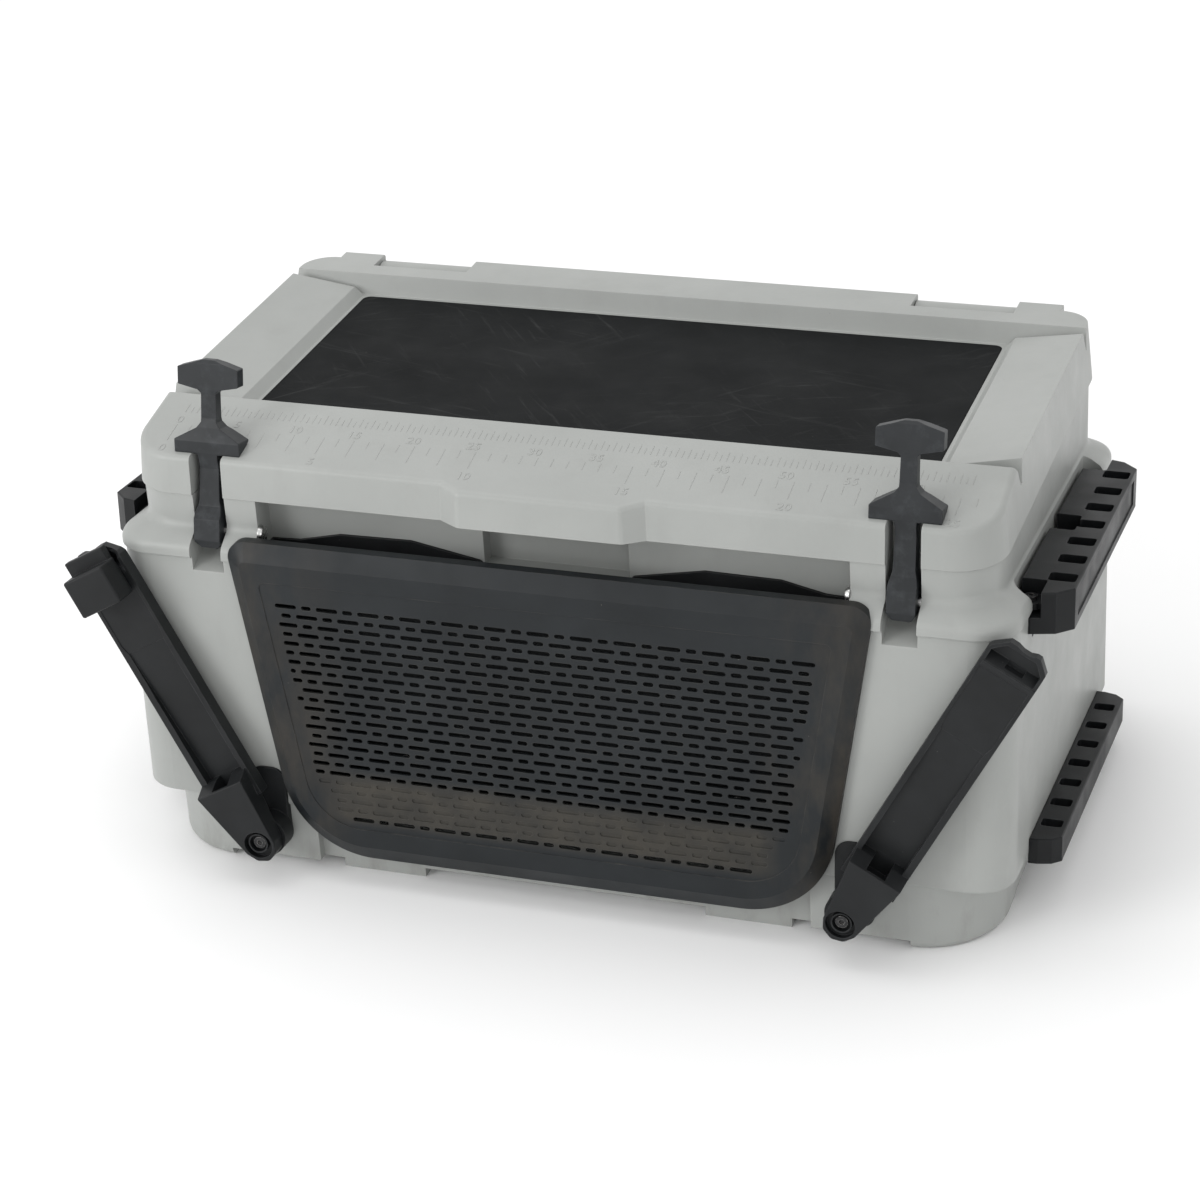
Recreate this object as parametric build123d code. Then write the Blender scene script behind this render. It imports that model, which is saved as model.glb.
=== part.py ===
from build123d import *
import os
from math import atan2, cos, degrees, hypot, radians, sin, sqrt

# Hard-sided marine cooler box with a hinged ruler lid, two rubber T-handle latches, a perforated
# front basket, two swinging front arms and four slotted side racks.
# Millimetres. X runs to the right, Z up. While modelling, Y is measured from the lid's front face;
# every part is finally moved so that the origin lies under the middle of the box.

# ---------------------------------------------------------------- driving dimensions
LEAN_BACK = 5.0             # degrees: shoulder, side racks and lower step fall towards the back
T = radians(LEAN_BACK)

NECK_X = 349.0              # half width of the body just under the lid
NECK_FRONT, NECK_BACK = 1.5, 384.0
RIM_Z = 322.4               # top of the body

SHOULDER_X = 366.0
SHOULDER_FRONT, SHOULDER_BACK = -14.0, 406.0
SHOULDER_Z = 297.5          # top of the sloping shoulder at Y 0, against the neck
SHOULDER_LIP = 14.0         # drop from there to the lip
SHOULDER_BAND = 24.0

WALL_X = 364.0
WALL_TOP_FRONT, WALL_LOW_FRONT = -12.0, -21.5
WALL_BACK = 404.5
STEP_Z = 57.5               # lower edge of the wall at Y 0

SKIRT_X = 351.0
SKIRT_FRONT, SKIRT_BACK = -18.5, 390.0
SKIRT_INNER_FRONT = -10.0    # the skirt is set back under the recess
FOOT_H = 8.0

RECESS_X = 239.7            # set-back front wall between the two latch columns
RECESS_Y = 25.0
RECESS_LOW_X, RECESS_LOW_Z = 207.5, 44.0
GRIP_RECESS_X = 59.4
GRIP_RECESS_Y = 39.0
GRIP_RECESS_Z = 275.0

LINER_X = 310.0             # inside of the tub
LINER_FRONT, LINER_BACK = 65.0, 352.0
LINER_FLOOR = 43.0
LINER_T = 3.0

LID_X = 351.5
LID_BACK = 386.0
LID_Z0 = 323.0              # lid underside
LID_EDGE_Z = 354.2          # front edge of the ruler strip
PAN_Z = 354.0               # flat pan that holds the mat
RIDGE_Y, RIDGE_Z = 82.0, 371.5
SIDE_STRIP_Z = 371.5
REAR_BAR_Y = 350.5
LID_DRAFT = 5.0

MAT_X = 281.4
MAT_FRONT, MAT_BACK = 92.0, 340.4
MAT_T = 2.6

HINGE_Y, HINGE_Z = 386.0, 352.0
ROD_R = 4.0
KNUCKLE_R = 16.0
NOTCH_IN, NOTCH_OUT = 197.2, 283.7      # rear notches of the lid that take the body knuckles
LUG_OUT = 320.3

LATCH_X = 280.0
LATCH_Y, LATCH_Z = 4.7, 293.0           # latch pin
LATCH_LEAN = 12.2
SLOT_HALF = 13.5
SLOT_BACK = 26.5
PIN_R = 3.5

BASKET_LEAN = 2.83
BASKET_Y = -39.0            # front plane of the basket at Z 0
BASKET_TOP = 296.0
BASKET_BOTTOM = 25.0
BASKET_TOP_X = 262.0
BASKET_SIDE_SLOPE = 0.157
ROWS = 24
OPEN_ROWS = 19              # the next four rows are only sunk, the last one is open again
ROW_PITCH = 8.0
SLOT_LONG, SLOT_SHORT, SLOT_GAP = 18.2, 8.4, 4.2
SLOT_H = 3.6

# The arms are drawn in their own frame, tipped by LEAN_BACK: (across, depth, along) from the pivot.
ARM_X, ARM_Z = 242.5, 37.2
ARM_LEAN = 29.0
ARM_IN, ARM_OUT = -22.7, 24.2           # the two long edges
ARM_BACK, ARM_RIM = -38.0, -50.0
NOSE_END, NOSE_FRONT, NOSE_BACK = 55.2, -65.5, -43.5
ARM_FRONT = -62.0                       # foremost corner of the leaning nose, measured like every Y

RACK_PITCH = 37.0
RACK_SLOTS = 7
UPPER_RACK = dict(x=352.7, y=47.0, z=286.7, w=43.0, length=296.0, h=33.0,
                  slot_x=19.0, slot_w=21.3, slot_l=16.0)
LOWER_RACK = dict(x=363.8, y=54.3, z=67.8, w=24.7, length=284.8, h=21.0,
                  slot_x=3.7, slot_w=17.0, slot_l=13.0)
RACK_FLOOR = 17.0           # the upper rack stands on a floor this far under its top
RACK_TAB_DROP = 12.0        # screw tabs are this much lower than the top
UPPER_TABS = (18.5, 148.0, 277.5)

DRAIN_X, DRAIN_Z = -250.0, 60.0
DRAIN_SEAT = 393.0          # flat seat of the drain, sunk into the back wall

Y_MID = (ARM_FRONT + SHOULDER_BACK * cos(T)) / 2
RUNNING = 0.06              # radial clearance of everything that turns


# ---------------------------------------------------------------- small tools
def box(x0, x1, y0, y1, z0, z1):
    return Pos((x0 + x1) / 2, (y0 + y1) / 2, (z0 + z1) / 2) * Box(x1 - x0, y1 - y0, z1 - z0)


def flat(*points):
    """Polygon through the points, always facing the drawing plane's own direction."""
    turn = sum(a[0] * b[1] - b[0] * a[1] for a, b in zip(points, points[1:] + points[:1]))
    return Polygon(*(points if turn > 0 else points[::-1]), align=None)


def rounded_plan(half_x, y_front, y_back, r_front, r_back):
    plan = Pos(0, (y_front + y_back) / 2) * Rectangle(2 * half_x, y_back - y_front)
    plan = fillet(plan.vertices().sort_by(Axis.Y)[:2], r_front)
    return fillet(plan.vertices().sort_by(Axis.Y)[-2:], r_back)


def slab(plan, z0, z1, taper=0.0):
    return Pos(0, 0, z0) * extrude(plan, z1 - z0, taper=taper)


def prism_x(points, x0, x1):
    """Outline of (Y, Z) points, extruded along X."""
    return extrude(Plane.YZ.offset(x0) * flat(*points), x1 - x0)


def prism_y(outline, y0, y1):
    """Flat shape drawn as (X, Z), extruded along Y."""
    return extrude(Plane((0, y1, 0), x_dir=(1, 0, 0), z_dir=(0, -1, 0)) * outline, y1 - y0)


def rod_x(radius, x0, x1, y, z):
    return Pos((x0 + x1) / 2, y, z) * Rot(0, 90, 0) * Cylinder(radius, x1 - x0)


def rod_y(radius, x, y0, y1, z):
    return Pos(x, (y0 + y1) / 2, z) * Rot(90, 0, 0) * Cylinder(radius, y1 - y0)


def falling_plane(z, x=0.0, y=0.0):
    """Plane whose local Y falls towards the back by LEAN_BACK."""
    return Plane((x, y, z), x_dir=(1, 0, 0), z_dir=(0, sin(T), cos(T)))


def mirrored(shape):
    return mirror(shape, Plane.YZ)


def both(shape):
    return shape + mirrored(shape)


def loft_between(lower, upper):
    return loft([lower, upper], ruled=True)


# ---------------------------------------------------------------- body
def recess_outline(grow=0.0):
    low_x, low_z = RECESS_LOW_X + grow, RECESS_LOW_Z - grow
    points = [(-RECESS_X - grow, 340), (-RECESS_X - grow, 262), (-low_x, low_z),
              (low_x, low_z), (RECESS_X + grow, 262), (RECESS_X + grow, 340)]
    outline = flat(*points)
    return fillet(outline.vertices().sort_by(Axis.Y)[:2], 42 + grow)


def fallen_block(half_x, low, high, z0, z1, corners):
    """Block between two planes that fall towards the back; low and high give (front, back)."""
    rise = z1 - z0
    shift = Pos(0, -rise * sin(T), rise * cos(T))
    return loft_between(rounded_plan(half_x, *low, *corners), shift * rounded_plan(half_x, *high, *corners))


def body_outer():
    """The outer form of the tub before it is hollowed."""
    wall = fallen_block(WALL_X, (WALL_LOW_FRONT, WALL_BACK), (WALL_TOP_FRONT, WALL_BACK),
                        STEP_Z, SHOULDER_Z - SHOULDER_LIP - 3, (33, 30))
    wall = fillet(wall.faces().sort_by(Axis.Z)[0].edges(), 3)
    wall = falling_plane(STEP_Z) * wall

    plan = rounded_plan(SHOULDER_X, SHOULDER_FRONT, SHOULDER_BACK, 36, 32)
    crest = rounded_plan(NECK_X - 3, NECK_FRONT + 3, NECK_BACK - 3, 35, 27)
    shoulder = slab(plan, -SHOULDER_BAND, -SHOULDER_LIP)
    shoulder += loft_between(Pos(0, 0, -SHOULDER_LIP) * plan, crest)
    lip = [e for e in shoulder.edges() if abs(e.center().Z + SHOULDER_LIP) < 0.01]
    shoulder = fillet(lip, 9)
    shoulder = fillet(shoulder.faces().sort_by(Axis.Z)[0].edges(), 1.8)
    shoulder = falling_plane(SHOULDER_Z) * shoulder

    neck = slab(rounded_plan(NECK_X, NECK_FRONT, NECK_BACK, 38, 30), 235, RIM_Z)
    skirt = slab(rounded_plan(SKIRT_X, SKIRT_FRONT, SKIRT_BACK, 66, 50), 0, STEP_Z + 2)
    skirt = fillet(skirt.faces().sort_by(Axis.Z)[0].edges(), 7)
    skirt -= box(-RECESS_LOW_X, RECESS_LOW_X, -60, SKIRT_INNER_FRONT, -1, RECESS_LOW_Z + 1)

    outer = wall + shoulder + neck
    ledge = falling_plane(SHOULDER_Z)
    roots = [e for e in outer.edges()
             if -6 < ledge.to_local_coords(e.center()).Z < -0.5
             and abs(e.center().X) < NECK_X + 0.5
             and NECK_FRONT - 0.5 < e.center().Y < NECK_BACK + 0.5]
    outer = fillet(roots, 9)
    outer += skirt

    outer -= prism_y(recess_outline(), -80, RECESS_Y)
    outer -= box(-GRIP_RECESS_X, GRIP_RECESS_X, 0, GRIP_RECESS_Y, GRIP_RECESS_Z, 340)

    pocket = [(-60, 248), (-14, 263), (6, 271), (24, 280), (SLOT_BACK, 284), (SLOT_BACK, 340), (-60, 340)]
    outer -= both(prism_x(pocket, LATCH_X - SLOT_HALF, LATCH_X + SLOT_HALF))

    for x0, x1 in ((-119, 119), (190, 287), (-287, -190)):
        outer -= box(x0, x1, -60, 470, -1, FOOT_H)
    outer -= box(-400, 400, 70, 330, -1, FOOT_H)
    outer += both(knuckle())
    return outer - both(rack_bay())


def rack_bay():
    """Recess in the shoulder that the upper rack sits in."""
    d = UPPER_RACK
    bay = Pos(40, d["length"] / 2) * RectangleRounded(85, d["length"] - 10, 8)
    return place_rack(d, slab(bay, -RACK_FLOOR, 30))


def knuckle():
    x0, x1 = NOTCH_IN + 0.8, NOTCH_OUT - 0.8
    leg = [(372, 245), (372, HINGE_Z), (400.5, HINGE_Z), (400.5, 245)]
    return prism_x(leg, x0, x1) + rod_x(KNUCKLE_R, x0, x1, HINGE_Y, HINGE_Z)


def body_cavity():
    """The space between the outer skin and the liner."""
    back = (45, WALL_BACK - 6)
    low, high = STEP_Z + 7, SHOULDER_Z - 38
    cavity = falling_plane(low) * fallen_block(WALL_X - 6, back, back, low, high, (10, 28))
    corner = slab(Pos(303.5, 28) * Rectangle(107, 60), STEP_Z + 9, 235)
    cavity += both(corner)
    high = rounded_plan(SHOULDER_X - 24, 45, SHOULDER_BACK - 24, 20, 20)
    cavity += falling_plane(STEP_Z + 20) * extrude(high, SHOULDER_Z - STEP_Z - 34)
    cavity += slab(rounded_plan(NECK_X - 6, 45, NECK_BACK - 6, 30, 24), 60, RIM_Z - 6.4)
    cavity += slab(rounded_plan(SKIRT_X - 6, 45, SKIRT_BACK - 6, 20, 34), 14, STEP_Z + 10)
    return cavity - drain_hole(30, DRAIN_SEAT - 6, 460)


def liner_block(grow, z0, z1):
    return slab(rounded_plan(LINER_X + grow, LINER_FRONT - grow, LINER_BACK + grow, 27 + grow, 27 + grow),
                z0, z1)


def drain_hole(radius, y0, y1):
    return rod_y(radius, DRAIN_X, y0, y1, DRAIN_Z)


def body_parts():
    outer = body_outer()
    cavity = body_cavity()
    liner_outside = liner_block(LINER_T, LINER_FLOOR - LINER_T, RIM_Z)
    shell = outer - cavity - liner_block(LINER_T, RIM_Z - 10, RIM_Z + 5)
    shell -= both(rod_x(PIN_R + RUNNING, RECESS_X - 1, LATCH_X + 32, LATCH_Y, LATCH_Z))
    shell -= rod_x(ROD_R + RUNNING, -330, 330, HINGE_Y, HINGE_Z)
    shell -= both(place_arm(rod_y(4.0, 0, -60, 12, 0), 0))
    shell -= drain_hole(14, DRAIN_SEAT - 20, DRAIN_SEAT + 1) + drain_hole(24, DRAIN_SEAT, DRAIN_SEAT + 60)
    for x, z in basket_screw_places():
        shell -= rod_y(2.0, x, 20, 36, z)
    for screw in upper_rack_screw_holes():
        shell -= both(screw)
    liner = liner_outside - liner_block(0, LINER_FLOOR, RIM_Z + 5) - drain_hole(14, 340, 380)
    foam = cavity - liner_outside - drain_hole(14, 340, 440)
    for screw in upper_rack_screw_holes():
        foam -= both(screw)
    return outer, shell, liner, foam


# ---------------------------------------------------------------- lid
def side_strip():
    """Raised wedge beside the mat, with sloping ends that leave a V groove at each end."""
    section = flat((284.5, PAN_Z - 4), (284.5, PAN_Z), (291.6, 361.8), (348.0, SIDE_STRIP_Z),
                      (358, SIDE_STRIP_Z + 1.7), (358, PAN_Z - 4))
    bar = prism_y(section, 80, 360)
    ends = prism_x([(93.5, PAN_Z - 5), (93.5, PAN_Z), (101, 375), (337, 375), (343.5, PAN_Z),
                    (343.5, PAN_Z - 5)], 280, 360)
    return bar & ends


def lid_outer():
    profile = [(-12, LID_Z0), (-12, LID_EDGE_Z - 3.2), (RIDGE_Y, RIDGE_Z), (88.5, PAN_Z), (345, PAN_Z),
               (REAR_BAR_Y, 371.3), (400, 371.3), (400, LID_Z0)]
    top = prism_x(profile, -360, 360) + both(side_strip())
    plan = rounded_plan(LID_X, 0, LID_BACK, 40, 30)
    lid = slab(plan, LID_Z0, 380, taper=LID_DRAFT) & top

    bump = flat((-96, 12), (-84, 0.6), (-66, -10), (66, -10), (84, 0.6), (96, 12))
    bump = fillet(bump.vertices().filter_by(lambda v: abs(v.X) < 90), 9)
    lid += slab(bump, LID_Z0, 380, taper=LID_DRAFT) & prism_x(profile, -100, 100)

    rim = [e for e in lid.edges() if is_lid_rim(e)]
    lid = fillet(rim, 5.0)
    return lid


def is_lid_rim(e):
    """Edges where the ruler strip and the rear bar meet the lid's outer faces."""
    c = e.center()
    on_strip = c.Y < RIDGE_Y - 1 and c.Z > LID_EDGE_Z - 8
    return on_strip and e.length > 2


def lid_lugs():
    """Hinge lugs: one wide lug in the middle and one at each end."""
    ear = [(366, 345), (366, 371.3), (394, 371.3), (396, 369.3), (396, HINGE_Z), (380, HINGE_Z - 8)]
    lugs = prism_x(ear, -NOTCH_IN, NOTCH_IN) + rod_x(11, -NOTCH_IN, NOTCH_IN, HINGE_Y, HINGE_Z)
    end = prism_x(ear, NOTCH_OUT, LUG_OUT) + rod_x(11, NOTCH_OUT, LUG_OUT, HINGE_Y, HINGE_Z)
    return lugs + both(end)


def lid_parts():
    outer = lid_outer()
    notch = box(NOTCH_IN, NOTCH_OUT, HINGE_Y - KNUCKLE_R - 1, 420, 300, 400)
    outer = outer - both(notch) + lid_lugs()
    slot = box(LATCH_X - SLOT_HALF, LATCH_X + SLOT_HALF, -20, SLOT_BACK, 300, 400)
    outer -= both(slot)

    mat_plan = rounded_plan(MAT_X, MAT_FRONT, MAT_BACK, 7, 7)
    mat = slab(mat_plan, PAN_Z - MAT_T + 0.3, PAN_Z + 0.3)
    pocket_plan = rounded_plan(MAT_X + 0.4, MAT_FRONT - 0.4, MAT_BACK + 0.4, 7.4, 7.4)
    outer -= slab(pocket_plan, PAN_Z - MAT_T + 0.3, PAN_Z + 2)

    hollow = slab(rounded_plan(334, 31, 364, 14, 20), LID_Z0 - 1, PAN_Z - 7)
    shell = outer - hollow - rod_x(ROD_R + RUNNING, -317, 317, HINGE_Y, HINGE_Z)

    plug = rounded_plan(LINER_X - 5, LINER_FRONT + 5, LINER_BACK - 6, 24, 24)
    plug_inside = rounded_plan(LINER_X - 8, LINER_FRONT + 8, LINER_BACK - 9, 21, 21)
    plate = slab(rounded_plan(334, 31, 364, 14, 20), LID_Z0, LID_Z0 + 3)
    liner = plate + slab(plug, 308, LID_Z0 + 3) - slab(plug_inside, 311, LID_Z0 + 4)
    foam = slab(rounded_plan(334, 31, 364, 14, 20), LID_Z0 + 3, PAN_Z - 7)
    foam += slab(plug_inside, 311, LID_Z0 + 4)

    groove = slab(rounded_plan(325, 48, 362.5, 34, 30), LID_Z0 - 1, LID_Z0 + 1.8)
    groove -= slab(rounded_plan(319, 54, 356.5, 28, 24), LID_Z0 - 2, LID_Z0 + 3)
    gasket_top = LID_Z0 + 1.8
    gasket = groove & box(-400, 400, 0, 400, RIM_Z + 0.15, gasket_top)
    liner -= groove
    return shell, liner, foam, gasket, mat


def hinge_rod():
    return rod_x(ROD_R, -316, 316, HINGE_Y, HINGE_Z)


# ---------------------------------------------------------------- latches
def latch():
    """Rubber T-handle, drawn with s up the strap from the pin and t towards the back."""
    front = [(-11, -9), (-7, -14), (7, -14), (11, -9), (11, 14), (8.6, 24), (8, 58), (8.5, 62),
             (27.6, 62), (27.6, 73), (10, 82.5), (6.6, 87), (6.2, 110), (9, 112.8), (25.6, 116.2),
             (25.6, 130.2), (5, 136.4)]
    front += [(-x, s) for x, s in reversed(front[4:])]
    side = [(-8, -14), (-13, -7), (-13, 10), (-7, 20), (-5.5, 50), (-9.5, 63.0), (-10, 72), (-6, 83),
            (-4.6, 90), (-4.6, 109), (-5.4, 113), (-5.4, 134), (-3, 136.6), (3, 136.6), (5, 134), (5, 113),
            (4.6, 108), (4.6, 90), (8.5, 80), (8.5, 71.4), (5.2, 69.6), (5.2, 24), (9, 10), (9, -7), (6, -14)]
    lean = radians(LATCH_LEAN)
    face = Plane((LATCH_X, LATCH_Y, LATCH_Z), x_dir=(1, 0, 0), z_dir=(0, -cos(lean), sin(lean)))
    front_view = flat(*front)
    front_view = fillet(front_view.vertices(), 0.9)
    across = extrude(face * front_view, 25, both=True)
    flank = Plane((0, LATCH_Y, LATCH_Z), x_dir=(0, cos(lean), -sin(lean)), z_dir=(1, 0, 0))
    side_view = flat(*side)
    side_view = fillet(side_view.vertices(), 0.7)
    along = extrude(flank * side_view, LATCH_X + 40)
    shape = across & along
    slope = [(-12, 330), (-12, LID_EDGE_Z - 2.9), (RIDGE_Y, RIDGE_Z + 0.3), (RIDGE_Y, 330)]
    for side in (-1, 1):
        x0, x1 = sorted((LATCH_X + side * (SLOT_HALF - 2), LATCH_X + side * 40))
        shape -= prism_x(slope, x0, x1)
    return shape - rod_x(PIN_R + RUNNING, LATCH_X - 20, LATCH_X + 20, LATCH_Y, LATCH_Z)


def latch_pin():
    """Stainless pin with a domed head on the inner face of the column."""
    head_x = RECESS_X - 0.2
    head = Pos(head_x, LATCH_Y, LATCH_Z) * Sphere(7.0) & box(head_x - 3.6, head_x, -20, 30, 280, 306)
    return rod_x(PIN_R, head_x - 1, LATCH_X + 31, LATCH_Y, LATCH_Z) + head


# ---------------------------------------------------------------- front basket
def basket_plane(offset=0.0):
    lean = radians(BASKET_LEAN)
    base = Plane((0, BASKET_Y, 0), x_dir=(1, 0, 0), z_dir=(0, -cos(lean), sin(lean)))
    return base.offset(offset)


def basket_outline(inset=0.0):
    top, low = BASKET_TOP - inset, BASKET_BOTTOM + inset
    top_x = BASKET_TOP_X - inset
    low_x = top_x - BASKET_SIDE_SLOPE * (top - low)
    shape = flat((-top_x, top), (-low_x, low), (low_x, low), (top_x, top))
    corners = shape.vertices().sort_by(Axis.Y)
    shape = fillet(corners[:2], 76 - inset)
    return fillet(shape.vertices().sort_by(Axis.Y)[-2:], max(15 - inset, 5))


def row_half_width(h):
    """Half width of the perforated field: parallel to the sides, rounded at the lower corners."""
    straight = 219.0 - BASKET_SIDE_SLOPE * (247 - h)
    rise = h - 58.0
    corner_r = 52.0
    if rise >= corner_r:
        return straight
    return straight - (corner_r - sqrt(corner_r ** 2 - (corner_r - rise) ** 2)) * 0.72


def slot_spans(row):
    """Start and end of every slot in a row: long and short slots alternate, odd rows are shifted."""
    h = 247.5 - ROW_PITCH * row
    half = row_half_width(h)
    period = SLOT_LONG + SLOT_SHORT + 2 * SLOT_GAP
    start = -219.0 - period + (period / 2 if row % 2 else 0.0)
    spans = []
    while start < half:
        for length, at in ((SLOT_LONG, start), (SLOT_SHORT, start + SLOT_LONG + SLOT_GAP)):
            a, b = max(at, -half), min(at + length, half)
            if b - a > SLOT_H + 0.8:
                spans.append((a, b, h))
        start += period
    return spans


def slots_of(rows):
    shapes = []
    for row in rows:
        for a, b, h in slot_spans(row):
            shapes.append(Pos((a + b) / 2, h) * SlotOverall(b - a, SLOT_H))
    return shapes


def front_basket(outer):
    """Bevelled tray front: a deep rim, a bevel all round and a perforated panel."""
    rim = extrude(basket_plane(-17) * basket_outline(), 9)
    bevel = loft_between(basket_plane(-8) * basket_outline(), basket_plane(0) * basket_outline(14))
    inner = extrude(basket_plane(-18) * basket_outline(5), 9.6)
    inner += loft_between(basket_plane(-8.4) * basket_outline(5), basket_plane(-3) * basket_outline(17))
    window = basket_outline(30)
    frame = rim + bevel - inner - extrude(basket_plane(-9) * window, 12)
    top_step = extrude(basket_plane(-30) * basket_outline(5), 18)
    frame -= box(-230, 230, -60, 60, BASKET_TOP - 5.5, 330) & top_step

    open_rows = list(range(OPEN_ROWS)) + [ROWS - 1]
    holes = slots_of(open_rows)
    panel_face = window.faces()[0]
    inner_wires = [s.faces()[0].outer_wire() for s in holes]
    pierced = Face(panel_face.outer_wire(), inner_wires)
    panel = extrude(basket_plane(-3) * pierced, 2.4)
    sunk = Sketch() + slots_of(range(OPEN_ROWS, ROWS - 1))
    panel -= extrude(basket_plane(-1.4) * sunk, 2)
    basket = frame + panel
    return basket - outer


def basket_backing():
    """Dark inner tray that lines the recess, with a waved top edge and a gap at the hand recess."""
    tray = prism_y(recess_outline(-0.4), 2, RECESS_Y - 0.3)
    tray -= prism_y(recess_outline(-2.9), -5, RECESS_Y - 2.8)
    wave = Polyline((-260, 279), (-215, 281), (-180, 289), (-120, 290), (-62, 279), (-58, 272),
                    (58, 272), (62, 279), (120, 290), (180, 289), (215, 281), (260, 279))
    lid_off = make_face([wave.edges(), Polyline((260, 279), (260, 400), (-260, 400), (-260, 279)).edges()])
    lid_off = fillet(lid_off.vertices().filter_by(lambda v: v.Y < 300 and abs(v.X) < 216), 4)
    tray -= prism_y(lid_off, -20, 40)
    for x, z in basket_screw_places():
        tray -= rod_y(2.0, x, 0, 40, z)
    return tray


def basket_screw_places():
    return [(sx * x, z) for sx in (-1, 1) for x, z in ((150, 262), (140, 90))]


def basket_screws():
    screws = Part()
    for x, z in basket_screw_places():
        head = rod_y(4.5, x, RECESS_Y - 5.2, RECESS_Y - 2.8, z)
        screws += head + rod_y(1.95, x, RECESS_Y - 4, RECESS_Y + 9, z)
    return screws


# ---------------------------------------------------------------- arms
def place_arm(shape, lean=ARM_LEAN):
    return falling_plane(ARM_Z, ARM_X) * Rot(0, lean, 0) * shape


def arm_outline():
    """Channel and head outline as (across, along) from the pivot."""
    return flat((ARM_IN, 36), (ARM_IN, 260), (-20.5, 263.5), (-10.5, 272.4), (-4.5, 272.4), (1, 270.8),
                (7, 270.8), (11.3, 272.8), (15, 272.8), (ARM_OUT, 264), (ARM_OUT, 36))


def nose():
    """Wedge-shaped foot of the arm with the sunk pivot."""
    plan = flat((ARM_IN + 1.6, NOSE_END), (-13.6, -4), (-9.5, -13), (0, -17), (9.5, -13), (14.6, -4),
                (ARM_OUT - 0.2, NOSE_END), (ARM_OUT - 0.2, 62), (ARM_IN + 1.6, 62))
    plan = fillet([v for v in plan.vertices() if v.Y < 0], 5)
    side = [(NOSE_BACK, -20), (-56.8, -20), (NOSE_FRONT, NOSE_END), (ARM_RIM, 60.6), (ARM_BACK, 61.5),
            (ARM_BACK, 40), (NOSE_BACK, 35)]
    body = prism_y(plan, NOSE_FRONT - 1, ARM_BACK) & prism_x(side, -40, 40)
    front = body.faces().sort_by(Axis.Y)[0]
    return fillet(front.edges(), 1.0)


def arm_right():
    """Channel-shaped arm, drawn upright over its pivot and then leaned outwards."""
    arm = prism_y(arm_outline(), ARM_RIM, ARM_BACK)
    arm -= prism_x([(-60, 55), (-41, 55), (-41, 62), (-48.8, 184), (-60, 188)], -18, 18.5)
    arm -= prism_y(flat((-18, 183), (18.5, 183), (21, 192), (21, 246), (-20, 246), (-20, 192)),
                   ARM_RIM - 1, ARM_RIM + 0.7)
    arm += prism_x([(ARM_RIM + 2, 243), (ARM_RIM, 246), (ARM_RIM - 1, 249), (ARM_RIM - 1, 251),
                    (ARM_RIM + 2, 252)], ARM_IN + 2.5, ARM_OUT - 0.5)
    pocket = flat((-19.5, 240), (21.5, 240), (21.5, 261.5), (13.5, 268.6), (-10.5, 268.6), (-19.5, 261))
    arm -= prism_y(pocket, -70, -40) & prism_x([(-52, 250.5), (-40, 257), (-40, 280), (-52, 280)], -40, 40)
    arm -= box(-4, 11, -50, -39.6, 253, 257)
    arm -= prism_x([(-60, 258), (ARM_RIM, 258), (-45.5, 266), (-45.5, 285), (-60, 285)], -40, 40)
    arm += nose()
    arm -= box(-7, 9.3, -63, -41, 47, 63)
    arm -= rod_y(11.9, 0, -80, -53, -0.6)
    arm += rod_y(8.4, 0.2, -57.6, -52, 0.4)
    arm -= rod_y(7.2, 0.2, -80, -52, 0.4)
    arm -= rod_y(ROD_R + RUNNING, 0, -80, -10, 0)
    return place_arm(arm)


def arm_insert():
    """Plug-in block that only the left arm carries in its head."""
    block = fillet(box(-18, 22, -74, ARM_RIM - 1.05, 229, 261.5).edges(), 2.0)
    block += fillet(box(-17, 21.5, -59, ARM_RIM - 1.05, 252, 273).edges(), 1.2)
    block += box(-10, 13, ARM_RIM - 3, -40.3, 258.2, 267.5)
    return place_arm(block)


def arm_bracket(outer):
    plan = Pos(3, 18) * RectangleRounded(32, 72, 12)
    pad = prism_y(plan, -27, -5)
    boss = rod_y(17, 0, NOSE_BACK + 0.6, -26, 0)
    basket_room = extrude(basket_plane(-40) * basket_outline(-1), 50)
    return place_arm(pad + boss, 0) - outer - basket_room - place_arm(rod_y(4.0, 0, -60, 20, 0), 0)


def arm_screw():
    """Shoulder screw with a six-lobe socket, fixed in the body through the bracket."""
    head = rod_y(5.0, 0, -55.2, -52.05, 0)
    socket = prism_y(RegularPolygon(2.4, 6), -56, -53.4)
    return place_arm(head + rod_y(3.98, 0, -53, 10, 0) - socket, 0)


# ---------------------------------------------------------------- side racks
def rack_bar(d, nose):
    """Bar whose outer corners are drawn back by nose."""
    plan = flat((0, 0), (d["w"] * 0.3, 0), (d["w"] * 0.72, nose * 0.3), (d["w"], nose),
                (d["w"], d["length"] - nose), (d["w"] * 0.72, d["length"] - nose * 0.3),
                (d["w"] * 0.3, d["length"]), (0, d["length"]))
    bar = slab(plan, -d["h"], 0)
    return fillet(bar.faces().sort_by(Axis.Z)[-1].edges(), 1.4)


def rack_slots(d):
    middle = d["length"] / 2
    cut = Part()
    for i in range(RACK_SLOTS):
        y = middle + (i - (RACK_SLOTS - 1) / 2) * RACK_PITCH
        plan = Pos(d["slot_x"] + d["slot_w"] / 2, y) * RectangleRounded(d["slot_w"], d["slot_l"], 3)
        cut += Pos(0, 0, -d["h"] - 5) * extrude(plan, d["h"] + 10)
    return cut


def place_rack(d, shape):
    return falling_plane(d["z"], d["x"], d["y"]) * shape


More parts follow.
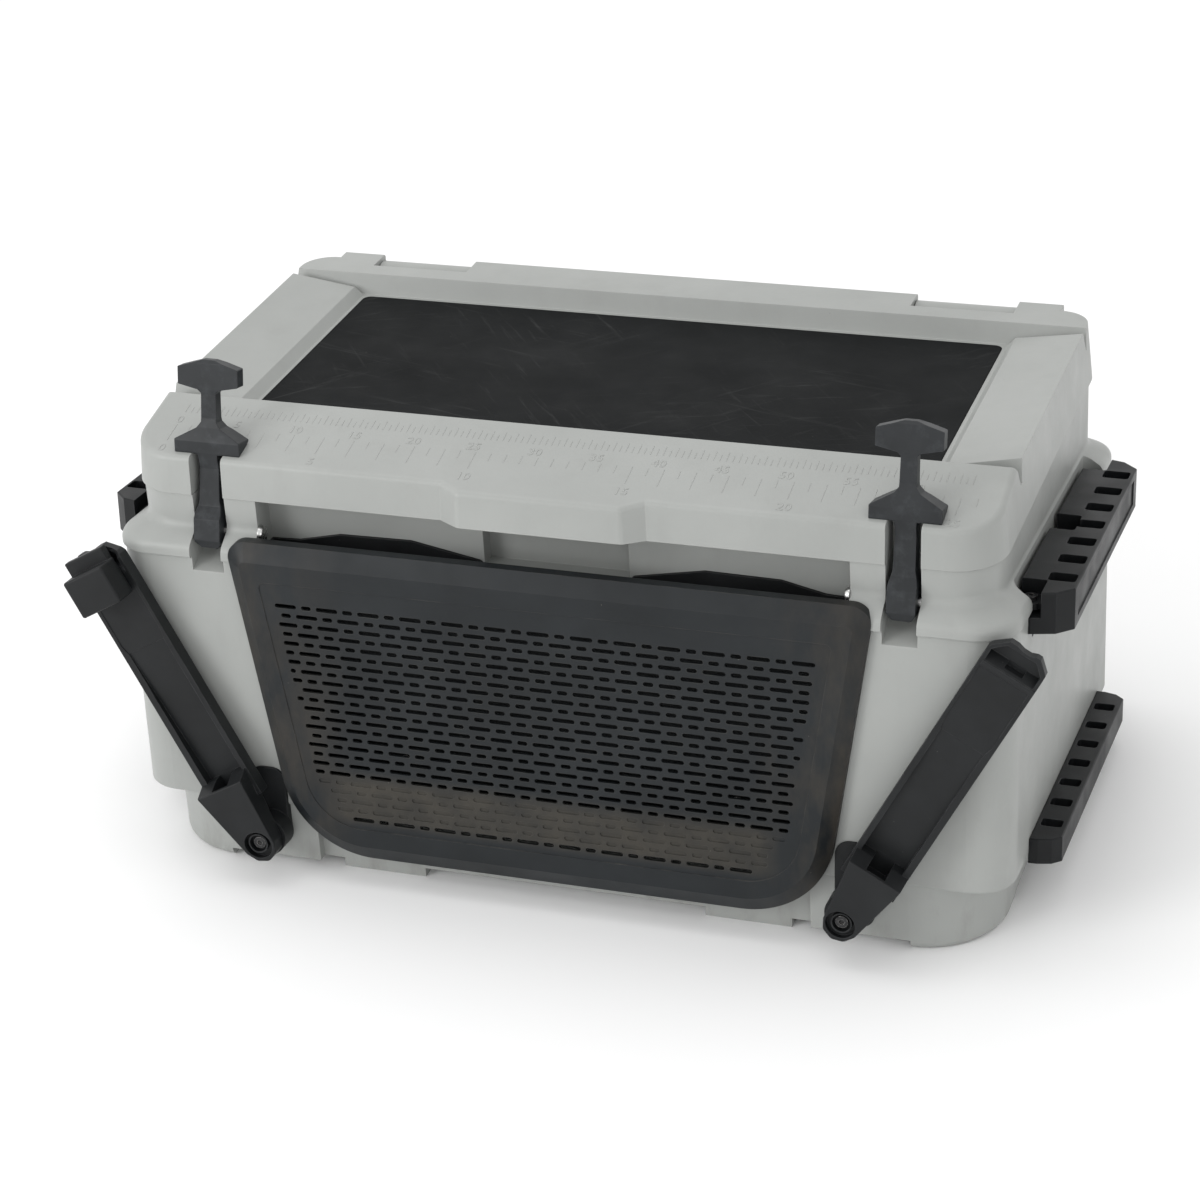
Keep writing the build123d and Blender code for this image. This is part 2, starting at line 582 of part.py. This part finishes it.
def upper_rack(outer):
    d = UPPER_RACK
    bar = rack_bar(d, 18)
    top = -RACK_TAB_DROP
    for y, low, high in zip(UPPER_TABS, (-1, 132, 267), (28.5, 164, 300)):
        bar -= Pos(9, (low + high) / 2, 0) * extrude(RectangleRounded(22, high - low, 3), 20, both=True)
        tab = Pos(9, y) * RectangleRounded(18.5, 20, 6)
        bar += slab(tab + Pos(17, y) * Rectangle(14, 16), -RACK_FLOOR, top)
    bar -= rack_slots(d)
    bar -= box(d["w"] - 1.2, d["w"] + 2, 30, d["length"] - 30, -d["h"] + 6, -6)
    for y in UPPER_TABS:
        bar -= Pos(9.5, y, 0) * Cylinder(2.7, 100)
    return place_rack(d, bar) - outer


def lower_rack(outer):
    d = LOWER_RACK
    bar = rack_bar(d, 10) - rack_slots(d)
    return place_rack(d, bar) - outer


def upper_rack_screw(y):
    shank = Pos(9.5, y, -RACK_TAB_DROP - 14.5) * Cylinder(2.5, 31)
    head = Pos(9.5, y, -RACK_TAB_DROP + 1.6) * Cylinder(4.8, 3.0)
    socket = Pos(9.5, y, -RACK_TAB_DROP + 3) * extrude(RegularPolygon(2.2, 6), 3, both=True)
    return shank + head - socket


def upper_rack_screw_holes():
    return [place_rack(UPPER_RACK, Pos(9.5, y, -RACK_TAB_DROP - 15.5) * Cylinder(2.5, 31))
            for y in UPPER_TABS]


def upper_rack_screws():
    screws = Part()
    for y in UPPER_TABS:
        screws += place_rack(UPPER_RACK, upper_rack_screw(y))
    return screws


# ---------------------------------------------------------------- drain
def drain_parts():
    bushing = drain_hole(14, LINER_BACK - 1, DRAIN_SEAT) - drain_hole(9.0, 340, 450)
    gasket = drain_hole(17, DRAIN_SEAT, DRAIN_SEAT + 1.8) - drain_hole(10.5, DRAIN_SEAT - 1, DRAIN_SEAT + 3)
    plug = drain_hole(18, DRAIN_SEAT + 1.8, DRAIN_SEAT + 9)
    plug = fillet(plug.edges().filter_by(GeomType.CIRCLE), 1.5)
    plug += drain_hole(8.93, DRAIN_SEAT - 34, DRAIN_SEAT + 3)
    for side in (-1, 1):
        x = DRAIN_X + side * 9.5
        plug -= box(x - 4.5, x + 4.5, DRAIN_SEAT + 5, DRAIN_SEAT + 12, DRAIN_Z - 9, DRAIN_Z + 9)
    return bushing, gasket, plug


# ---------------------------------------------------------------- assembly
def make_parts():
    outer, shell, liner, foam = body_parts()
    lid_shell, lid_liner, lid_foam, lid_gasket, lid_mat = lid_parts()
    bushing, drain_gasket, plug = drain_parts()
    one_latch, one_pin, one_arm, one_insert = latch(), latch_pin(), arm_right(), arm_insert()
    one_bracket, one_screw = arm_bracket(outer), arm_screw()
    one_upper, one_lower, rack_screws = upper_rack(outer), lower_rack(outer), upper_rack_screws()
    return {
        "body_shell": shell,
        "body_liner": liner,
        "body_foam": foam,
        "lid_shell": lid_shell,
        "lid_liner": lid_liner,
        "lid_foam": lid_foam,
        "lid_gasket": lid_gasket,
        "lid_mat": lid_mat,
        "hinge_rod": hinge_rod(),
        "latch_right": one_latch,
        "latch_left": mirrored(one_latch),
        "latch_pin_right": one_pin,
        "latch_pin_left": mirrored(one_pin),
        "front_basket": front_basket(outer),
        "basket_backing": basket_backing(),
        "basket_screws": basket_screws(),
        "arm_right": one_arm,
        "arm_left": mirrored(one_arm),
        "arm_left_block": mirrored(one_insert),
        "arm_bracket_right": one_bracket,
        "arm_bracket_left": mirrored(one_bracket),
        "arm_screw_right": one_screw,
        "arm_screw_left": mirrored(one_screw),
        "upper_rack_right": one_upper,
        "upper_rack_left": mirrored(one_upper),
        "lower_rack_right": one_lower,
        "lower_rack_left": mirrored(one_lower),
        "rack_screws_right": rack_screws,
        "rack_screws_left": mirrored(rack_screws),
        "drain_bushing": bushing,
        "drain_gasket": drain_gasket,
        "drain_plug": plug,
    }


os.makedirs("parts", exist_ok=True)
for node, shape in make_parts().items():
    export_step(Pos(0, -Y_MID, 0) * shape, f"parts/{node}.step")
    print(node, round(shape.volume))
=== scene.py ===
"""Cooler box with a ruler lid: materials, moulded ruler, floor, light and camera."""
from math import atan2, cos, radians, sin

import bmesh
import bpy
from mathutils import Matrix, Vector
from mathutils.bvhtree import BVHTree


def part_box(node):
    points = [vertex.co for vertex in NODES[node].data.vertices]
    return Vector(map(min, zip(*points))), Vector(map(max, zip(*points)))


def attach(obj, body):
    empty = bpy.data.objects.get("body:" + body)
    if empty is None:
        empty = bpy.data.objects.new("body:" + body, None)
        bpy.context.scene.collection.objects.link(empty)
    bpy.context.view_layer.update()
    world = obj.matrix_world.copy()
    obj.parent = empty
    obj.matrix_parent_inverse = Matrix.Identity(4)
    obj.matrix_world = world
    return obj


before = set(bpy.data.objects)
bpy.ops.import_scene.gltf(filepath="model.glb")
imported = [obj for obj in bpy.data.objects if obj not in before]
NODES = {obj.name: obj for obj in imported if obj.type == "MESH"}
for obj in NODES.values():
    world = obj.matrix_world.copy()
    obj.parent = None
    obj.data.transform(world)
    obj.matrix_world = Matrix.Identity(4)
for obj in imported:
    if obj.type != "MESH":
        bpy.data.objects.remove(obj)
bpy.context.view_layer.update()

# ---------------------------------------------------------------- driving values (metres)
CAMERA_AT = Vector((0.78299, -2.18275, 1.39578))
CAMERA_AZIMUTH, CAMERA_ELEVATION, CAMERA_ROLL = radians(20.20), radians(27.743), radians(-3.594)
CAMERA_LENS = 95.3

RULER_ZERO = -0.3205
RULER_CM = 64
RULER_INCHES = 25.5
CM, INCH = 0.01, 0.0254
LABEL_EVERY = 5
MAT_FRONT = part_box("lid_mat")[0].y
CM_TICK_TOP = MAT_FRONT - 0.0230        # the ruler lies between the mat and the front edge of the lid
CM_TICK_LONG, CM_TICK_SHORT = 0.0105, 0.0070
CM_TICK_BASE = CM_TICK_TOP - CM_TICK_LONG
CM_LABEL_Y = MAT_FRONT - 0.0437
INCH_TICK_TOP = MAT_FRONT - 0.0500
INCH_TICK_LONG, INCH_TICK_SHORT = 0.0200, 0.0090
INCH_PLAIN = (10, 15)                   # between these marks every inch tick is a short one
INCH_LABEL_Y = MAT_FRONT - 0.0800
TICK_WIDTH = 0.0008
RELIEF = 0.00020
DIGIT_SIZE = 0.0118
DIGIT_FOOT = 0.004                      # how far before and behind its centre a number meets the lid
ABOVE_LID = 1.0

BLIND_ROWS_TOP = (0.085, 0.070)         # where dust on the basket's blind rows fades, from its lower edge
BLIND_ROWS_FOOT = (0.033, 0.043)
BLIND_ROWS_SIDE = (0.190, 0.172)
BASKET_RIM = (0.62, 0.92)               # parts of its half width between which rim dust sets in

WORLD_STRENGTH = 0.95
STUDIO_CENTRE = (0, 0, 0.15)
FLOOR_HALF = 14.0


# ---------------------------------------------------------------- node tools
class Surface:
    """A material under construction: one Principled shader and short calls that add nodes to it."""

    def __init__(self, name):
        self.material = bpy.data.materials.new(name)
        self.material.use_nodes = True
        self.tree = self.material.node_tree
        self.tree.nodes.clear()
        self.shader = self.tree.nodes.new("ShaderNodeBsdfPrincipled")
        output = self.tree.nodes.new("ShaderNodeOutputMaterial")
        self.tree.links.new(self.shader.outputs["BSDF"], output.inputs["Surface"])
        self.place = self.tree.nodes.new("ShaderNodeTexCoord").outputs["Object"]

    def node(self, kind, inputs=(), **settings):
        node = self.tree.nodes.new(kind)
        for key, value in settings.items():
            setattr(node, key, value)
        for key, value in dict(inputs).items():
            if isinstance(value, bpy.types.NodeSocket):
                self.tree.links.new(value, node.inputs[key])
            else:
                node.inputs[key].default_value = value
        return node

    def stretched(self, stretch, turn=(0, 0, 0)):
        """Texture space turned first and then stretched, so that streaks run the way that turn says."""
        turned = self.node("ShaderNodeMapping", {"Vector": self.place, "Rotation": turn})
        inputs = {"Vector": turned.outputs["Vector"], "Scale": stretch}
        return self.node("ShaderNodeMapping", inputs).outputs["Vector"]

    def noise(self, scale, detail=3.0, roughness=0.5, place=None, distortion=0.0):
        inputs = {"Vector": place or self.place, "Scale": scale, "Detail": detail,
                  "Roughness": roughness, "Distortion": distortion}
        return self.node("ShaderNodeTexNoise", inputs).outputs["Fac"]

    def between(self, value, low, high, to_low=0.0, to_high=1.0):
        inputs = {"Value": value, "From Min": low, "From Max": high, "To Min": to_low, "To Max": to_high}
        return self.node("ShaderNodeMapRange", inputs).outputs["Result"]

    def math(self, operation, a, b=0.0):
        return self.node("ShaderNodeMath", {0: a, 1: b}, operation=operation).outputs[0]

    def mix(self, factor, a, b):
        inputs = {"Factor": factor, "A": a, "B": b}
        node = self.tree.nodes.new("ShaderNodeMix")
        node.data_type = "RGBA"
        sockets = {"Factor": node.inputs[0], "A": node.inputs[6], "B": node.inputs[7]}
        for key, value in inputs.items():
            if isinstance(value, bpy.types.NodeSocket):
                self.tree.links.new(value, sockets[key])
            elif key == "Factor":
                sockets[key].default_value = value
            else:
                sockets[key].default_value = (*value, 1.0)
        return node.outputs[2]

    def specks(self, scale, size, chance):
        """Small scattered dots: 1 inside a dot, 0 elsewhere."""
        cells = self.node("ShaderNodeTexVoronoi", {"Vector": self.place, "Scale": scale})
        near = self.between(cells.outputs["Distance"], size, size * 0.5)
        lucky = self.node("ShaderNodeSeparateColor", {"Color": cells.outputs["Color"]}).outputs["Red"]
        return self.math("MULTIPLY", near, self.math("GREATER_THAN", lucky, 1.0 - chance))

    def edges(self, radius, sharpness=0.12):
        """1 on sharp outer and inner edges, fading to 0 within the radius."""
        soft = self.node("ShaderNodeBevel", {"Radius": radius}, samples=6).outputs["Normal"]
        true = self.node("ShaderNodeNewGeometry").outputs["Normal"]
        dot = self.node("ShaderNodeVectorMath", {0: soft, 1: true}, operation="DOT_PRODUCT")
        return self.between(dot.outputs["Value"], 1.0, 1.0 - sharpness)

    def height(self, value):
        return self.node("ShaderNodeSeparateXYZ", {"Vector": self.place}).outputs[value]

    def bump(self, fields, radius=0.0006):
        """Rounds edges in the shading and adds height fields given as (value, strength, distance)."""
        normal = self.node("ShaderNodeBevel", {"Radius": radius}, samples=6).outputs["Normal"]
        for value, strength, distance in fields:
            inputs = {"Height": value, "Strength": strength, "Distance": distance, "Normal": normal}
            normal = self.node("ShaderNodeBump", inputs).outputs["Normal"]
        self.tree.links.new(normal, self.shader.inputs["Normal"])

    def set(self, **inputs):
        for key, value in inputs.items():
            socket = self.shader.inputs[key.replace("_", " ")]
            if isinstance(value, bpy.types.NodeSocket):
                self.tree.links.new(value, socket)
            elif isinstance(value, tuple):
                socket.default_value = (*value, 1.0)
            else:
                socket.default_value = value
        return self.material


# ---------------------------------------------------------------- materials
def moulded_shell(name="shell_polyethylene", light=(0.344, 0.354, 0.341), dark=(0.306, 0.316, 0.304)):
    """Rotomoulded polyethylene: cloudy colour, orange peel, faint darker patches heavier towards the bottom,
    satin gloss.
    """
    s = Surface(name)
    clouds = s.noise(7, 4, 0.6)
    colour = s.mix(s.between(clouds, 0.3, 0.7), dark, light)
    # darker patches all over, heavier towards the bottom
    darker_patches = s.noise(34, 5, 0.65, s.stretched((1, 1, 0.35)))
    low = s.between(s.height("Z"), 0.09, 0.0)
    amount = s.math("ADD", s.math("MULTIPLY", low, 0.5), 0.10)
    darker_patches = s.math("MULTIPLY", s.between(darker_patches, 0.52, 0.78), amount)
    colour = s.mix(darker_patches, colour, (0.17, 0.165, 0.15))
    colour = s.mix(s.math("MULTIPLY", s.specks(90, 0.06, 0.05), 0.5), colour, (0.20, 0.20, 0.19))
    # painted highlight: a lighter line along the edges
    colour = s.mix(s.math("MULTIPLY", s.edges(0.0016), 0.25), colour, (0.50, 0.50, 0.48))
    peel = s.noise(260, 3, 0.5)
    grain = s.noise(1500, 2, 0.6)
    s.bump([(peel, 0.10, 0.0009), (grain, 0.12, 0.0003)], 0.0008)
    rough = s.between(s.noise(22, 4, 0.6), 0.3, 0.7, 0.33, 0.47)
    return s.set(Base_Color=colour, Roughness=rough, Specular_IOR_Level=0.42)


def black_plastic(name, base=(0.0075, 0.0082, 0.0088), rubbed_and_sheen=(0.075, 0.078, 0.08), edge_wear_and_highlight=0.5,
                  rough=(0.36, 0.52)):
    """Injection-moulded black plastic: fine grain, rubbed edges with a painted edge highlight, thin scratches
    and dust.
    """
    s = Surface(name)
    tone = s.noise(16, 4, 0.6)
    paler = tuple(c * 1.9 for c in base)
    colour = s.mix(s.between(tone, 0.3, 0.72), base, paler)
    scratch = s.noise(46, 6, 0.75, s.stretched((9, 2, 1), (0.3, 0.5, 0.9)), 0.6)
    colour = s.mix(s.between(scratch, 0.66, 0.84, 0.0, 0.35), colour, rubbed_and_sheen)
    patch = s.between(s.noise(60, 3, 0.6), 0.42, 0.66)
    # rubbed edges, lightened further as a painted edge highlight
    colour = s.mix(s.math("MULTIPLY", s.edges(0.0011), s.math("MULTIPLY", patch, edge_wear_and_highlight)), colour, rubbed_and_sheen)
    dust = s.specks(150, 0.05, 0.05)
    colour = s.mix(s.math("MULTIPLY", dust, 0.55), colour, (0.32, 0.31, 0.29))
    s.bump([(s.noise(900, 3, 0.6), 0.16, 0.00035), (s.noise(120, 2), 0.04, 0.0008)], 0.0007)
    gloss = s.between(s.noise(30, 4), 0.3, 0.7, *rough)
    return s.set(Base_Color=colour, Roughness=gloss, Specular_IOR_Level=0.24)


def basket_plastic():
    """Slate black face with dried dust in the lower, blind rows and along the rim."""
    s = Surface("basket_plastic")
    low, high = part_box("front_basket")
    tone = s.noise(12, 4, 0.6)
    colour = s.mix(s.between(tone, 0.3, 0.7), (0.0072, 0.0090, 0.0104), (0.0132, 0.0160, 0.0182))
    z = s.height("Z")
    x = s.math("ABSOLUTE", s.height("X"))
    dusty = s.math("MULTIPLY", s.between(z, *(low.z + rise for rise in BLIND_ROWS_TOP)),
                   s.between(z, *(low.z + rise for rise in BLIND_ROWS_FOOT)))
    dusty = s.math("MULTIPLY", dusty, s.between(x, *BLIND_ROWS_SIDE))
    stain = s.between(s.noise(24, 5, 0.7), 0.34, 0.66)
    dusty = s.math("MULTIPLY", dusty, s.between(stain, 0.0, 1.0, 0.35, 0.8))
    colour = s.mix(dusty, colour, (0.050, 0.044, 0.034))
    rim = s.math("MULTIPLY", s.between(x, *(high.x * part for part in BASKET_RIM)),
                 s.between(z, high.z, low.z, 0.3, 1.0))
    smear = s.between(s.noise(18, 5, 0.7, s.stretched((1, 1, 0.4))), 0.42, 0.62)
    colour = s.mix(s.math("MULTIPLY", rim, smear), colour, (0.052, 0.043, 0.032))
    scratch = s.noise(30, 7, 0.8, s.stretched((2, 1, 11), (0.2, 0.9, 0.1)), 0.8)
    colour = s.mix(s.between(scratch, 0.68, 0.85, 0.0, 0.4), colour, (0.10, 0.10, 0.095))
    # rubbed edges, lightened further as a painted edge highlight
    worn = s.between(s.noise(50, 3), 0.4, 0.65)
    rubbed_and_sheen = s.math("MULTIPLY", s.edges(0.0010), s.math("MULTIPLY", worn, 0.45))
    colour = s.mix(rubbed_and_sheen, colour, (0.085, 0.082, 0.072))
    colour = s.mix(s.math("MULTIPLY", s.specks(150, 0.05, 0.06), 0.6), colour, (0.33, 0.31, 0.27))
    s.bump([(s.noise(1100, 3, 0.6), 0.18, 0.0003), (s.noise(90, 2), 0.05, 0.0008)], 0.0006)
    gloss = s.between(s.noise(26, 4), 0.3, 0.7, 0.38, 0.54)
    return s.set(Base_Color=colour, Roughness=gloss, Specular_IOR_Level=0.28)


def latch_rubber():
    s = Surface("latch_rubber")
    tone = s.between(s.noise(30, 4, 0.6), 0.3, 0.7)
    colour = s.mix(tone, (0.012, 0.0135, 0.015), (0.022, 0.0245, 0.027))
    bloom = s.between(s.noise(70, 5, 0.7), 0.50, 0.75, 0.0, 0.30)
    colour = s.mix(bloom, colour, (0.075, 0.082, 0.088))
    # painted highlight: a lighter line along the edges
    colour = s.mix(s.math("MULTIPLY", s.edges(0.0012), 0.25), colour, (0.080, 0.085, 0.09))
    s.bump([(s.noise(1000, 2, 0.6), 0.15, 0.0003)], 0.0012)
    gloss = s.between(s.noise(40, 3), 0.3, 0.7, 0.38, 0.52)
    return s.set(Base_Color=colour, Roughness=gloss, Specular_IOR_Level=0.30)


def mat_rubber():
    """Thin foam rubber mat: dull, with pale scuffs that run in many directions."""
    s = Surface("mat_rubber")
    tone = s.between(s.noise(9, 5, 0.65), 0.3, 0.7)
    colour = s.mix(tone, (0.0080, 0.0087, 0.0091), (0.0120, 0.0129, 0.0134))
    for turn, scale, strength in ((0.25, 7, 0.6), (0.9, 9, 0.5), (2.3, 8, 0.5), (2.85, 12, 0.5)):
        streak = s.noise(scale, 8, 0.75, s.stretched((1.0, 16.0, 1.0), (0, 0, turn)), 0.4)
        where = s.between(s.noise(5 + turn, 2), 0.42, 0.60)
        scuff = s.math("MULTIPLY", s.between(streak, 0.575, 0.70), s.math("MULTIPLY", where, strength))
        colour = s.mix(scuff, colour, (0.052, 0.053, 0.053))
    colour = s.mix(s.math("MULTIPLY", s.specks(120, 0.05, 0.08), 0.5), colour, (0.20, 0.19, 0.17))
    s.bump([(s.noise(1300, 3, 0.7), 0.25, 0.0003), (s.noise(40, 3), 0.08, 0.0006)], 0.0006)
    dull = s.between(s.noise(20, 4), 0.3, 0.7, 0.58, 0.74)
    return s.set(Base_Color=colour, Roughness=dull, Specular_IOR_Level=0.07)


def soft_seal():
    s = Surface("soft_seal")
    colour = s.mix(s.between(s.noise(40, 4), 0.3, 0.7), (0.020, 0.020, 0.021), (0.034, 0.034, 0.035))
    s.bump([(s.noise(700, 2), 0.2, 0.0004)], 0.0005)
    return s.set(Base_Color=colour, Roughness=s.between(s.noise(60, 3), 0.3, 0.7, 0.6, 0.75))


def stainless():
    """Brushed stainless steel with fine turning marks."""
    s = Surface("stainless")
    brushed = s.noise(420, 4, 0.6, s.stretched((0.08, 1, 1)))
    colour = s.mix(s.between(s.noise(80, 3), 0.3, 0.7), (0.58, 0.58, 0.57), (0.70, 0.70, 0.69))
    s.bump([(brushed, 0.08, 0.0002)], 0.0004)
    return s.set(Base_Color=colour, Metallic=1.0, Roughness=s.between(brushed, 0.3, 0.7, 0.20, 0.34))


def coated_steel():
    """Black-coated screws, worn to bare metal on the edges of the drive."""
    s = Surface("coated_steel")
    colour = s.mix(s.between(s.noise(200, 3), 0.3, 0.7), (0.020, 0.020, 0.021), (0.045, 0.045, 0.046))
    worn = s.math("MULTIPLY", s.edges(0.0008), s.between(s.noise(300, 3), 0.35, 0.6))
    colour = s.mix(worn, colour, (0.35, 0.34, 0.33))
    s.bump([(s.noise(900, 3), 0.15, 0.0003)], 0.0004)
    rough = s.between(s.noise(150, 3), 0.3, 0.7, 0.30, 0.45)
    return s.set(Base_Color=colour, Metallic=0.6, Roughness=rough)


def rigid_foam():
    s = Surface("rigid_foam")
    cells = s.node("ShaderNodeTexVoronoi", {"Vector": s.place, "Scale": 600}).outputs["Distance"]
    colour = s.mix(s.between(cells, 0.1, 0.6), (0.72, 0.66, 0.46), (0.82, 0.77, 0.58))
    s.bump([(cells, 0.3, 0.0006)], 0.0005)
    return s.set(Base_Color=colour, Roughness=s.between(s.noise(90, 3), 0.3, 0.7, 0.8, 0.95))


def pale_floor():
    s = Surface("pale_floor")
    colour = s.mix(s.between(s.noise(1.3, 3), 0.3, 0.7), (0.94, 0.94, 0.94), (0.96, 0.96, 0.96))
    rough = s.between(s.noise(9, 3), 0.3, 0.7, 0.85, 0.92)
    return s.set(Base_Color=colour, Roughness=rough, Specular_IOR_Level=0.1)


def dress(nodes, material):
    for name in nodes:
        mesh = NODES[name].data
        mesh.materials.clear()
        mesh.materials.append(material)


def sides(*stems):
    return [f"{stem}_{side}" for stem in stems for side in ("left", "right")]


SHELL = moulded_shell()
LINER = moulded_shell("liner_polyethylene", (0.62, 0.63, 0.62), (0.57, 0.58, 0.57))
dress(["body_shell", "lid_shell"], SHELL)
dress(["body_liner", "lid_liner"], LINER)
dress(["body_foam", "lid_foam"], rigid_foam())
dress(["lid_mat"], mat_rubber())
dress(["lid_gasket", "drain_gasket"], soft_seal())
dress(["hinge_rod", *sides("latch_pin")], stainless())
dress(sides("latch"), latch_rubber())
dress(["front_basket"], basket_plastic())
dress(["basket_backing", "drain_bushing", "drain_plug"],
      black_plastic("tray_plastic", (0.007, 0.0075, 0.008)))
dress([*sides("arm", "arm_bracket"), "arm_left_block"], black_plastic("arm_plastic"))
# racks: strongest rubbed edges and painted edge highlight
dress(sides("upper_rack", "lower_rack"),
      black_plastic("rack_plastic", (0.005, 0.0056, 0.0062), edge_wear_and_highlight=0.9))
dress(["basket_screws", *sides("arm_screw", "rack_screws")], coated_steel())


# ---------------------------------------------------------------- ruler moulded into the lid
LID_MESH = NODES["lid_shell"].data
LID_SURFACE = BVHTree.FromPolygons([v.co for v in LID_MESH.vertices], [p.vertices for p in LID_MESH.polygons])


def on_lid(x, y):
    """The point of the lid's top at x, y, or None over a slot."""
    return LID_SURFACE.ray_cast(Vector((x, y, ABOVE_LID)), Vector((0, 0, -1)))[0]


def tick(mesh, x, y_low, y_high):
    """One raised line with sloping sides, left out where a latch slot cuts the lid."""
    low, high = on_lid(x, y_low), on_lid(x, y_high)
    if low is None or high is None:
        return
    lines = []
    for half, rise in ((TICK_WIDTH / 2, -RELIEF), (TICK_WIDTH / 4, RELIEF)):
        corners = [(low, -half), (low, half), (high, half), (high, -half)]
        lines.append([mesh.verts.new(p + Vector((side, 0, rise))) for p, side in corners])
    foot, top = lines
    mesh.faces.new(top)
    mesh.faces.new(foot[::-1])
    for i in range(4):
        j = (i + 1) % 4
        mesh.faces.new([foot[i], foot[j], top[j], top[i]])


def label(mesh, text, x, y):
    """A number standing on the slope of the lid, centred on x, y."""
    curve = bpy.data.curves.new("digits", "FONT")
    curve.body = text
    curve.align_x, curve.align_y = "CENTER", "CENTER"
    curve.size = DIGIT_SIZE
    curve.extrude = RELIEF
    curve.resolution_u = 3
    holder = bpy.data.objects.new("digits", curve)
    bpy.context.scene.collection.objects.link(holder)
    bpy.context.view_layer.update()
    solid = bpy.data.meshes.new_from_object(holder.evaluated_get(bpy.context.evaluated_depsgraph_get()))
    near, far = on_lid(x, y - DIGIT_FOOT), on_lid(x, y + DIGIT_FOOT)
    slope = atan2(far.z - near.z, far.y - near.y)
    solid.transform(Matrix.Translation((near + far) / 2) @ Matrix.Rotation(slope, 4, "X"))
    mesh.from_mesh(solid)
    bpy.data.objects.remove(holder)
    bpy.data.meshes.remove(solid)
    bpy.data.curves.remove(curve)


def ruler():
    """Centimetre and inch scales with a number at every fifth mark."""
    mesh = bmesh.new()
    for half_cm in range(2 * RULER_CM + 1):
        whole = half_cm % 2 == 0
        length = CM_TICK_LONG if whole else CM_TICK_SHORT
        tick(mesh, RULER_ZERO + half_cm * CM / 2, CM_TICK_BASE, CM_TICK_BASE + length)
    for cm in range(0, RULER_CM, LABEL_EVERY):
        label(mesh, str(cm), RULER_ZERO + cm * CM, CM_LABEL_Y)
    for half_inch in range(round(2 * RULER_INCHES) + 1):
        inch = half_inch / 2
        whole = half_inch % 2 == 0 and not INCH_PLAIN[0] < inch < INCH_PLAIN[1]
        length = INCH_TICK_LONG if whole else INCH_TICK_SHORT
        tick(mesh, RULER_ZERO + inch * INCH, INCH_TICK_TOP - length, INCH_TICK_TOP)
    for inch in range(0, int(RULER_INCHES) + 1, LABEL_EVERY):
        label(mesh, str(inch), RULER_ZERO + inch * INCH, INCH_LABEL_Y)
    return as_piece("ruler_relief", mesh, "lid", SHELL)


def as_piece(name, mesh, body, material):
    data = bpy.data.meshes.new(name)
    mesh.to_mesh(data)
    mesh.free()
    data.materials.append(material)
    piece = bpy.data.objects.new(name, data)
    bpy.context.scene.collection.objects.link(piece)
    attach(piece, body)
    return piece


ruler()


# ---------------------------------------------------------------- floor, light, camera
def floor():
    mesh = bmesh.new()
    bmesh.ops.create_grid(mesh, x_segments=8, y_segments=8, size=FLOOR_HALF)
    data = bpy.data.meshes.new("floor")
    mesh.to_mesh(data)
    mesh.free()
    data.materials.append(pale_floor())
    plane = bpy.data.objects.new("floor", data)
    bpy.context.scene.collection.objects.link(plane)


def softbox(name, at, size, power):
    data = bpy.data.lights.new(name, "AREA")
    data.shape = "DISK"
    data.size = size
    data.energy = power
    lamp = bpy.data.objects.new(name, data)
    lamp.location = at
    lamp.rotation_euler = (Vector(STUDIO_CENTRE) - Vector(at)).to_track_quat("-Z", "Y").to_euler()
    bpy.context.scene.collection.objects.link(lamp)


def studio():
    world = bpy.data.worlds.new("studio")
    world.use_nodes = True
    background = world.node_tree.nodes["Background"]
    background.inputs["Color"].default_value = (1.0, 1.0, 1.0, 1.0)
    background.inputs["Strength"].default_value = WORLD_STRENGTH
    bpy.context.scene.world = world
    softbox("overhead", (-0.6, 0.3, 3.0), 2.6, 18)
    softbox("front_left", (-2.4, -2.8, 1.6), 1.8, 48)
    softbox("front_right", (1.6, -3.2, 1.2), 1.6, 6)
    bpy.context.scene.view_settings.view_transform = "Standard"


def camera():
    level = cos(CAMERA_ELEVATION)
    back = Vector((sin(CAMERA_AZIMUTH) * level, -cos(CAMERA_AZIMUTH) * level, sin(CAMERA_ELEVATION)))
    right = (-back).cross(Vector((0, 0, 1))).normalized()
    up = right.cross(-back)
    rolled_right = cos(CAMERA_ROLL) * right + sin(CAMERA_ROLL) * up
    rolled_up = cos(CAMERA_ROLL) * up - sin(CAMERA_ROLL) * right
    data = bpy.data.cameras.new("camera")
    data.lens = CAMERA_LENS
    data.sensor_width = 36.0
    data.clip_start, data.clip_end = 0.05, 60.0
    view = bpy.data.objects.new("camera", data)
    turn = Matrix((rolled_right, rolled_up, back)).transposed().to_4x4()
    view.matrix_world = Matrix.Translation(CAMERA_AT) @ turn
    bpy.context.scene.collection.objects.link(view)
    bpy.context.scene.camera = view


floor()
studio()
camera()
